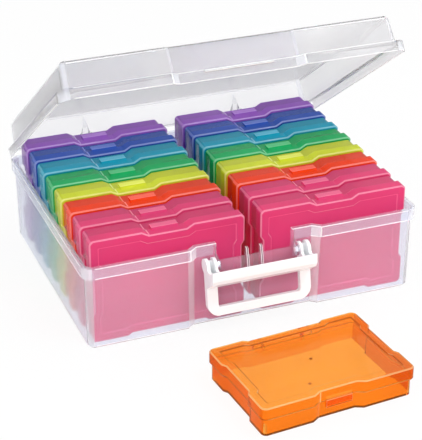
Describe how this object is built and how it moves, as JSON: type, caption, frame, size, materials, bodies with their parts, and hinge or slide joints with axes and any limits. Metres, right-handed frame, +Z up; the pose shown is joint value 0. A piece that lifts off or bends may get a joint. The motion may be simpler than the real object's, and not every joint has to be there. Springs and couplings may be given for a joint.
{
  "type": "photo keeper case",
  "caption": "Clear plastic carry box with a hinged lid and a swinging latch handle, filled with columns of coloured snap-shut photo cases; another case lies in front.",
  "frame": {"origin": "centre of the tub's underside", "axes": "X to the right, +Y to the hinge side, +Z up"},
  "size_m": [0.3844, 0.5087, 0.2919],
  "materials": {
    "clear_plastic": "frosted clear polypropylene",
    "handle_white": "smooth gloss",
    "purple": "glossy tinted translucent",
    "blue": "glossy tinted translucent",
    "teal": "glossy tinted translucent",
    "green": "glossy tinted translucent",
    "yellow": "glossy tinted translucent",
    "orange": "glossy tinted translucent",
    "pink": "glossy tinted translucent",
    "loose_orange": "glossy tinted translucent"
  },
  "bodies": {
    "tub": {"outer_tub": "clear_plastic"},
    "lid": {"outer_lid": "clear_plastic"},
    "handle": {"carry_handle": "handle_white"},
    "case_left_1": {"case_left_1_base": "pink", "case_left_1_lid": "pink"},
    "case_left_2": {"case_left_2_base": "pink", "case_left_2_lid": "pink"},
    "case_left_3": {"case_left_3_base": "orange", "case_left_3_lid": "orange"},
    "case_left_4": {"case_left_4_base": "yellow", "case_left_4_lid": "yellow"},
    "case_left_5": {"case_left_5_base": "green", "case_left_5_lid": "green"},
    "case_left_6": {"case_left_6_base": "teal", "case_left_6_lid": "teal"},
    "case_left_7": {"case_left_7_base": "blue", "case_left_7_lid": "blue"},
    "case_left_8": {"case_left_8_base": "purple", "case_left_8_lid": "purple"},
    "case_right_1": {"case_right_1_base": "pink", "case_right_1_lid": "pink"},
    "case_right_2": {"case_right_2_base": "pink", "case_right_2_lid": "pink"},
    "case_right_3": {"case_right_3_base": "orange", "case_right_3_lid": "orange"},
    "case_right_4": {"case_right_4_base": "yellow", "case_right_4_lid": "yellow"},
    "case_right_5": {"case_right_5_base": "green", "case_right_5_lid": "green"},
    "case_right_6": {"case_right_6_base": "teal", "case_right_6_lid": "teal"},
    "case_right_7": {"case_right_7_base": "blue", "case_right_7_lid": "blue"},
    "case_right_8": {"case_right_8_base": "purple", "case_right_8_lid": "purple"},
    "case_loose": {"case_loose_base": "loose_orange"},
    "case_loose_cover": {"case_loose_lid": "loose_orange"}
  },
  "joints": [
    {"name": "lid_hinge", "type": "hinge", "parent": "tub", "child": "lid", "pos_m": [0, 0.154, 0.1], "axis": [-1, 0, 0], "range_deg": [-35.5, 64.5]},
    {"name": "handle_pivot", "type": "hinge", "parent": "tub", "child": "handle", "pos_m": [0, -0.1447, 0.076], "axis": [-1, 0, 0], "range_deg": [0, 80.6]},
    {"name": "case_left_1_lift", "type": "slide", "parent": "tub", "child": "case_left_1", "axis": [0, 0, 1], "range_m": [0, 0.1]},
    {"name": "case_left_2_lift", "type": "slide", "parent": "tub", "child": "case_left_2", "axis": [0, 0, 1], "range_m": [0, 0.1]},
    {"name": "case_left_3_lift", "type": "slide", "parent": "tub", "child": "case_left_3", "axis": [0, 0, 1], "range_m": [0, 0.1]},
    {"name": "case_left_4_lift", "type": "slide", "parent": "tub", "child": "case_left_4", "axis": [0, 0, 1], "range_m": [0, 0.1]},
    {"name": "case_left_5_lift", "type": "slide", "parent": "tub", "child": "case_left_5", "axis": [0, 0, 1], "range_m": [0, 0.085]},
    {"name": "case_left_6_lift", "type": "slide", "parent": "tub", "child": "case_left_6", "axis": [0, 0, 1], "range_m": [0, 0.065]},
    {"name": "case_left_7_lift", "type": "slide", "parent": "tub", "child": "case_left_7", "axis": [0, 0, 1], "range_m": [0, 0.042]},
    {"name": "case_left_8_lift", "type": "slide", "parent": "tub", "child": "case_left_8", "axis": [0, 0, 1], "range_m": [0, 0.02]},
    {"name": "case_right_1_lift", "type": "slide", "parent": "tub", "child": "case_right_1", "axis": [0, 0, 1], "range_m": [0, 0.1]},
    {"name": "case_right_2_lift", "type": "slide", "parent": "tub", "child": "case_right_2", "axis": [0, 0, 1], "range_m": [0, 0.1]},
    {"name": "case_right_3_lift", "type": "slide", "parent": "tub", "child": "case_right_3", "axis": [0, 0, 1], "range_m": [0, 0.1]},
    {"name": "case_right_4_lift", "type": "slide", "parent": "tub", "child": "case_right_4", "axis": [0, 0, 1], "range_m": [0, 0.1]},
    {"name": "case_right_5_lift", "type": "slide", "parent": "tub", "child": "case_right_5", "axis": [0, 0, 1], "range_m": [0, 0.085]},
    {"name": "case_right_6_lift", "type": "slide", "parent": "tub", "child": "case_right_6", "axis": [0, 0, 1], "range_m": [0, 0.065]},
    {"name": "case_right_7_lift", "type": "slide", "parent": "tub", "child": "case_right_7", "axis": [0, 0, 1], "range_m": [0, 0.042]},
    {"name": "case_right_8_lift", "type": "slide", "parent": "tub", "child": "case_right_8", "axis": [0, 0, 1], "range_m": [0, 0.02]},
    {"name": "case_loose_lift", "type": "slide", "parent": "tub", "child": "case_loose", "axis": [0, 0, 1], "range_m": [0, 0.1]},
    {"name": "case_loose_hinge", "type": "hinge", "parent": "case_loose", "child": "case_loose_cover", "pos_m": [-0.00454, -0.22281, 0.0196], "axis": [-0.9965, -0.0837, 0], "range_deg": [0, 110]}
  ]
}
